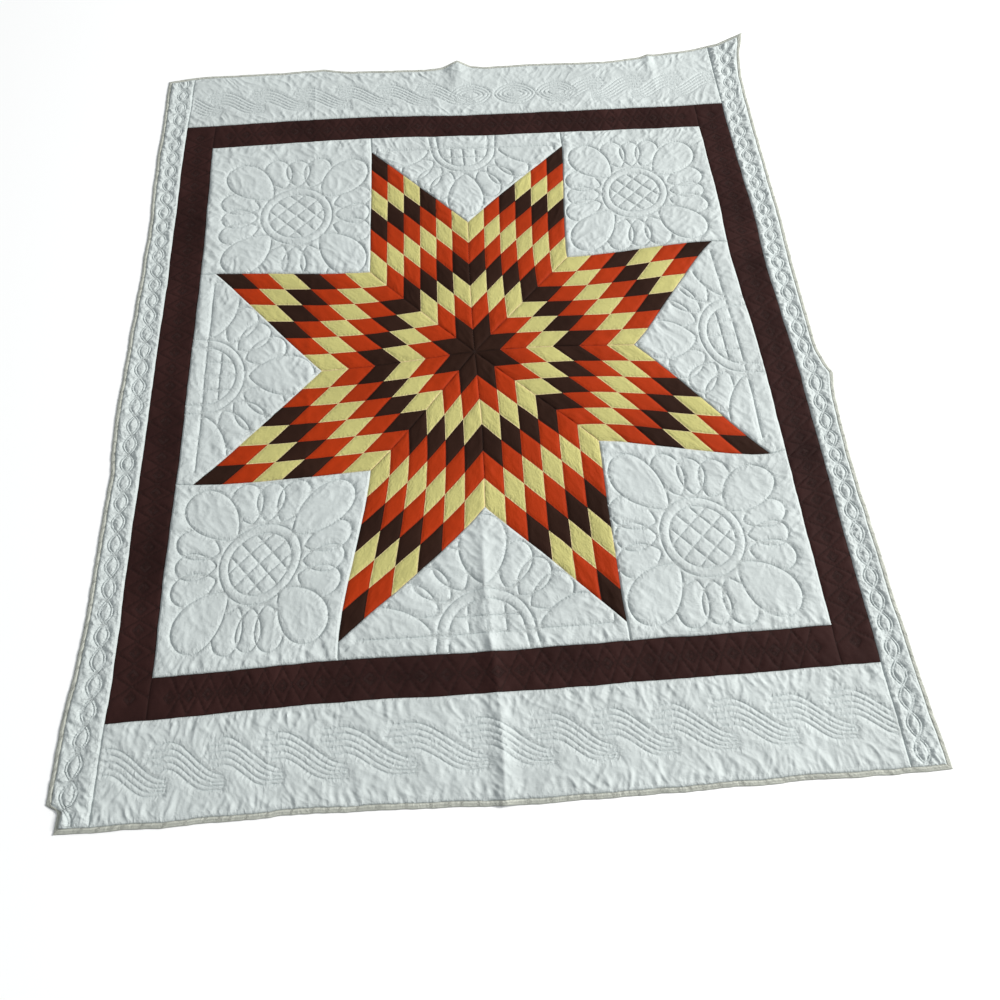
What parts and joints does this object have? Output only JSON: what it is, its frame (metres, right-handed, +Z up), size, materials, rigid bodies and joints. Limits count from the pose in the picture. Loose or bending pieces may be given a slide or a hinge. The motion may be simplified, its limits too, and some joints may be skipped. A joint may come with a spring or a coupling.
{
  "type": "star quilt blanket",
  "caption": "Quilted cotton blanket laid flat: an eight-pointed star pieced from small diamonds on a white field, inside a dark frame and white cabled borders.",
  "frame": {"origin": "middle of the base, on the surface that the quilt lies on", "axes": "+Z up through the face of the quilt, +Y towards its head end, +X towards its right side seen from the foot"},
  "size_m": [1.9564, 2.2806, 0.0329],
  "materials": {
    "patchwork": "pieced plain cotton in rust orange, pale yellow and dark brown, quilted",
    "white_cotton": "cool white cotton sateen, quilted and puckered",
    "brown_cotton": "dark brown plain cotton, quilted",
    "binding_cotton": "cream-grey folded cotton binding"
  },
  "bodies": {
    "root": {"star_point_1": "patchwork", "star_point_2": "patchwork", "star_point_3": "patchwork", "star_point_4": "patchwork", "star_point_5": "patchwork", "star_point_6": "patchwork", "star_point_7": "patchwork", "star_point_8": "patchwork", "field_square_head_right": "white_cotton", "field_square_head_left": "white_cotton", "field_square_foot_left": "white_cotton", "field_square_foot_right": "white_cotton", "field_triangle_right": "white_cotton", "field_triangle_head": "white_cotton", "field_triangle_left": "white_cotton", "field_triangle_foot": "white_cotton", "frame_head": "brown_cotton", "frame_foot": "brown_cotton", "frame_right": "brown_cotton", "frame_left": "brown_cotton", "border_head": "white_cotton", "border_foot": "white_cotton", "border_right": "white_cotton", "border_left": "white_cotton", "binding_head": "binding_cotton", "binding_foot": "binding_cotton", "binding_left": "binding_cotton", "binding_right": "binding_cotton"}
  },
  "joints": []
}
